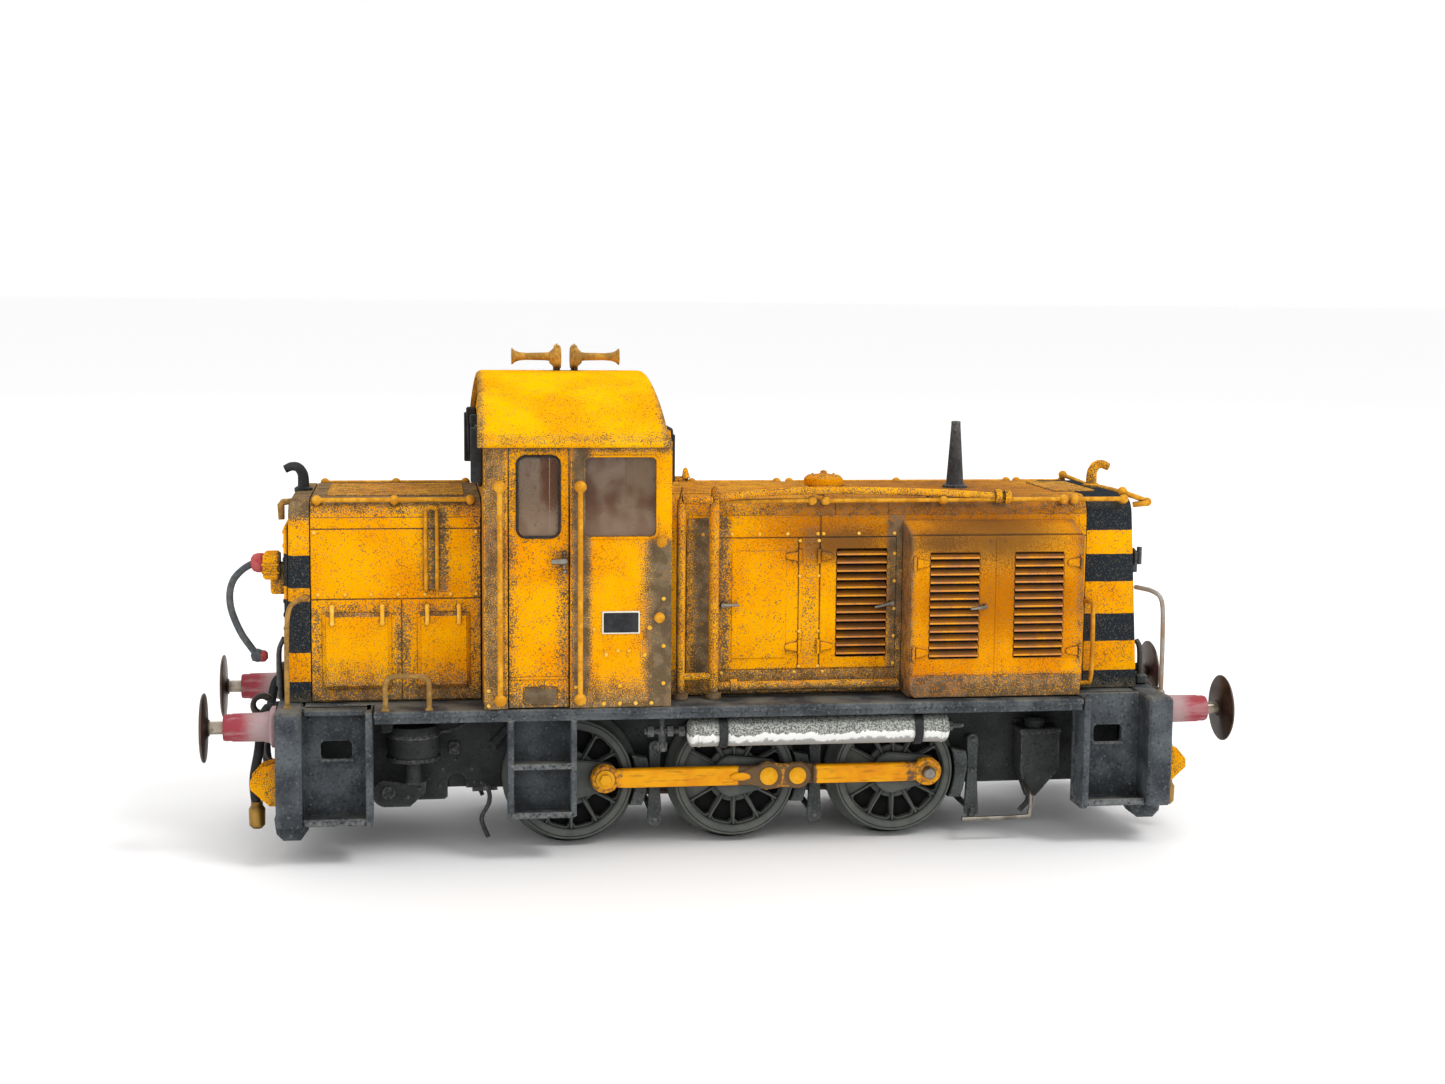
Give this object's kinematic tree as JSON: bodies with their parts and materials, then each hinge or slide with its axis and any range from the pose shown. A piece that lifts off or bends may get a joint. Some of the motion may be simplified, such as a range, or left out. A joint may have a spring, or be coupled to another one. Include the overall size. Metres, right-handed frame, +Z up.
{
  "type": "model diesel locomotive",
  "caption": "Small-scale six-wheeled rod-driven diesel shunting locomotive with a cab near one end, two bonnets, sprung buffers and a worm-driven middle axle.",
  "frame": {"origin": "on the surface that the wheel flanges stand on, under the middle of the length over the buffers and midway between the two sides", "axes": "+X towards the long bonnet's end, +Y towards the far side, +Z up"},
  "size_m": [0.1072, 0.0336, 0.0518],
  "materials": {
    "body_yellow": "weathered orange-yellow paint with fine dark speckle and grime",
    "frame_slate": "grainy dark slate grey",
    "chassis_metal": "blackened die-cast metal",
    "keeper_plastic": "matt black",
    "contact_bronze": "springy phosphor bronze",
    "brake_plastic": "matt dark grey",
    "hook_black": "blackened steel",
    "stock_red": "faded red",
    "buffer_bronze": "dull bronze-brown steel",
    "hose_grey": "dull grey rubber",
    "tank_silver": "silver paint with a worn pale lower half",
    "bright_steel": "turned steel",
    "wheel_grey": "dull grey-green metal",
    "gear_nylon": "off-white nylon",
    "rod_yellow": "worn orange-yellow paint on metal",
    "drive_brass": "turned brass",
    "motor_steel": "plated steel",
    "board_green": "green lacquered circuit board",
    "window_smoke": "smoky brown translucent glazing",
    "interior_grey": "matt grey",
    "exhaust_grey": "sooty dark grey",
    "horn_brass": "aged brass"
  },
  "bodies": {
    "chassis": {"footplate": "frame_slate", "buffer_beam_short_end": "frame_slate", "buffer_beam_long_end": "frame_slate", "cab_steps_near": "frame_slate", "cab_steps_far": "frame_slate", "chassis_block": "chassis_metal", "keeper_plate": "keeper_plastic", "pickup_plate": "contact_bronze", "brake_rigging": "brake_plastic", "draw_hook_short_end": "hook_black", "draw_hook_long_end": "hook_black", "buffer_stock_short_end_near": "stock_red", "buffer_stock_short_end_far": "stock_red", "buffer_stock_long_end_near": "stock_red", "buffer_stock_long_end_far": "stock_red", "jumper_box": "body_yellow", "short_bonnet": "body_yellow", "long_bonnet": "body_yellow", "nose_short_end": "body_yellow", "nose_long_end": "body_yellow", "cab_shell": "body_yellow", "cab_roof": "body_yellow", "intake_box_near": "body_yellow", "intake_box_far": "body_yellow", "pipework_near": "body_yellow", "pipework_far": "body_yellow", "filler_cap": "body_yellow", "swan_neck_long_end": "body_yellow", "jumper_hose": "hose_grey", "swan_neck_short_end": "hose_grey", "air_tank_near": "tank_silver", "air_tank_far": "tank_silver", "motor_case": "motor_steel", "circuit_board": "board_green", "cab_glazing": "window_smoke", "cab_interior": "interior_grey", "exhaust_stack": "exhaust_grey", "horn_short_end": "horn_brass", "horn_long_end": "horn_brass"},
    "front_wheelset": {"axle_front": "bright_steel", "wheel_front_near": "wheel_grey", "wheel_front_far": "wheel_grey"},
    "middle_wheelset": {"axle_middle": "bright_steel", "wheel_middle_near": "wheel_grey", "wheel_middle_far": "wheel_grey", "worm_wheel": "gear_nylon"},
    "rear_wheelset": {"axle_rear": "bright_steel", "wheel_rear_near": "wheel_grey", "wheel_rear_far": "wheel_grey"},
    "near_rods": {"coupling_rod_front_near": "rod_yellow", "coupling_rod_rear_near": "rod_yellow"},
    "far_rods": {"coupling_rod_front_far": "rod_yellow", "coupling_rod_rear_far": "rod_yellow"},
    "drive_shaft": {"motor_shaft": "bright_steel", "flywheel": "drive_brass", "worm": "drive_brass"},
    "buffer_short_end_near": {"buffer_head_short_end_near": "buffer_bronze"},
    "buffer_short_end_far": {"buffer_head_short_end_far": "buffer_bronze"},
    "buffer_long_end_near": {"buffer_head_long_end_near": "buffer_bronze"},
    "buffer_long_end_far": {"buffer_head_long_end_far": "buffer_bronze"}
  },
  "joints": [
    {"name": "front_wheelset_spin", "type": "hinge", "parent": "chassis", "child": "front_wheelset", "pos_m": [-0.01641, 0, 0.0071], "axis": [0, 1, 0], "continuous": true},
    {"name": "middle_wheelset_spin", "type": "hinge", "parent": "chassis", "child": "middle_wheelset", "pos_m": [0.00067, 0, 0.0071], "axis": [0, 1, 0], "continuous": true},
    {"name": "rear_wheelset_spin", "type": "hinge", "parent": "chassis", "child": "rear_wheelset", "pos_m": [0.01775, 0, 0.0071], "axis": [0, 1, 0], "continuous": true},
    {"name": "near_rods_turn", "type": "hinge", "parent": "middle_wheelset", "child": "near_rods", "pos_m": [0.00406, -0.01087, 0.00734], "axis": [0, 1, 0], "continuous": true},
    {"name": "far_rods_turn", "type": "hinge", "parent": "middle_wheelset", "child": "far_rods", "pos_m": [0.00043, 0.01087, 0.01049], "axis": [0, 1, 0], "continuous": true},
    {"name": "drive_shaft_spin", "type": "hinge", "parent": "chassis", "child": "drive_shaft", "pos_m": [0, 0, 0.0132], "axis": [1, 0, 0], "continuous": true},
    {"name": "buffer_short_end_near_slide", "type": "slide", "parent": "chassis", "child": "buffer_short_end_near", "axis": [1, 0, 0], "range_m": [0, 0.0013], "stiffness_N_per_m": 120},
    {"name": "buffer_short_end_far_slide", "type": "slide", "parent": "chassis", "child": "buffer_short_end_far", "axis": [1, 0, 0], "range_m": [0, 0.0013], "stiffness_N_per_m": 120},
    {"name": "buffer_long_end_near_slide", "type": "slide", "parent": "chassis", "child": "buffer_long_end_near", "axis": [-1, 0, 0], "range_m": [0, 0.0013], "stiffness_N_per_m": 120},
    {"name": "buffer_long_end_far_slide", "type": "slide", "parent": "chassis", "child": "buffer_long_end_far", "axis": [-1, 0, 0], "range_m": [0, 0.0013], "stiffness_N_per_m": 120}
  ],
  "couplings": [
    {"joint": "front_wheelset_spin", "follows": "middle_wheelset_spin", "ratio": 1},
    {"joint": "rear_wheelset_spin", "follows": "middle_wheelset_spin", "ratio": 1},
    {"joint": "near_rods_turn", "follows": "middle_wheelset_spin", "ratio": -1},
    {"joint": "far_rods_turn", "follows": "middle_wheelset_spin", "ratio": -1},
    {"joint": "drive_shaft_spin", "follows": "middle_wheelset_spin", "ratio": -20}
  ]
}
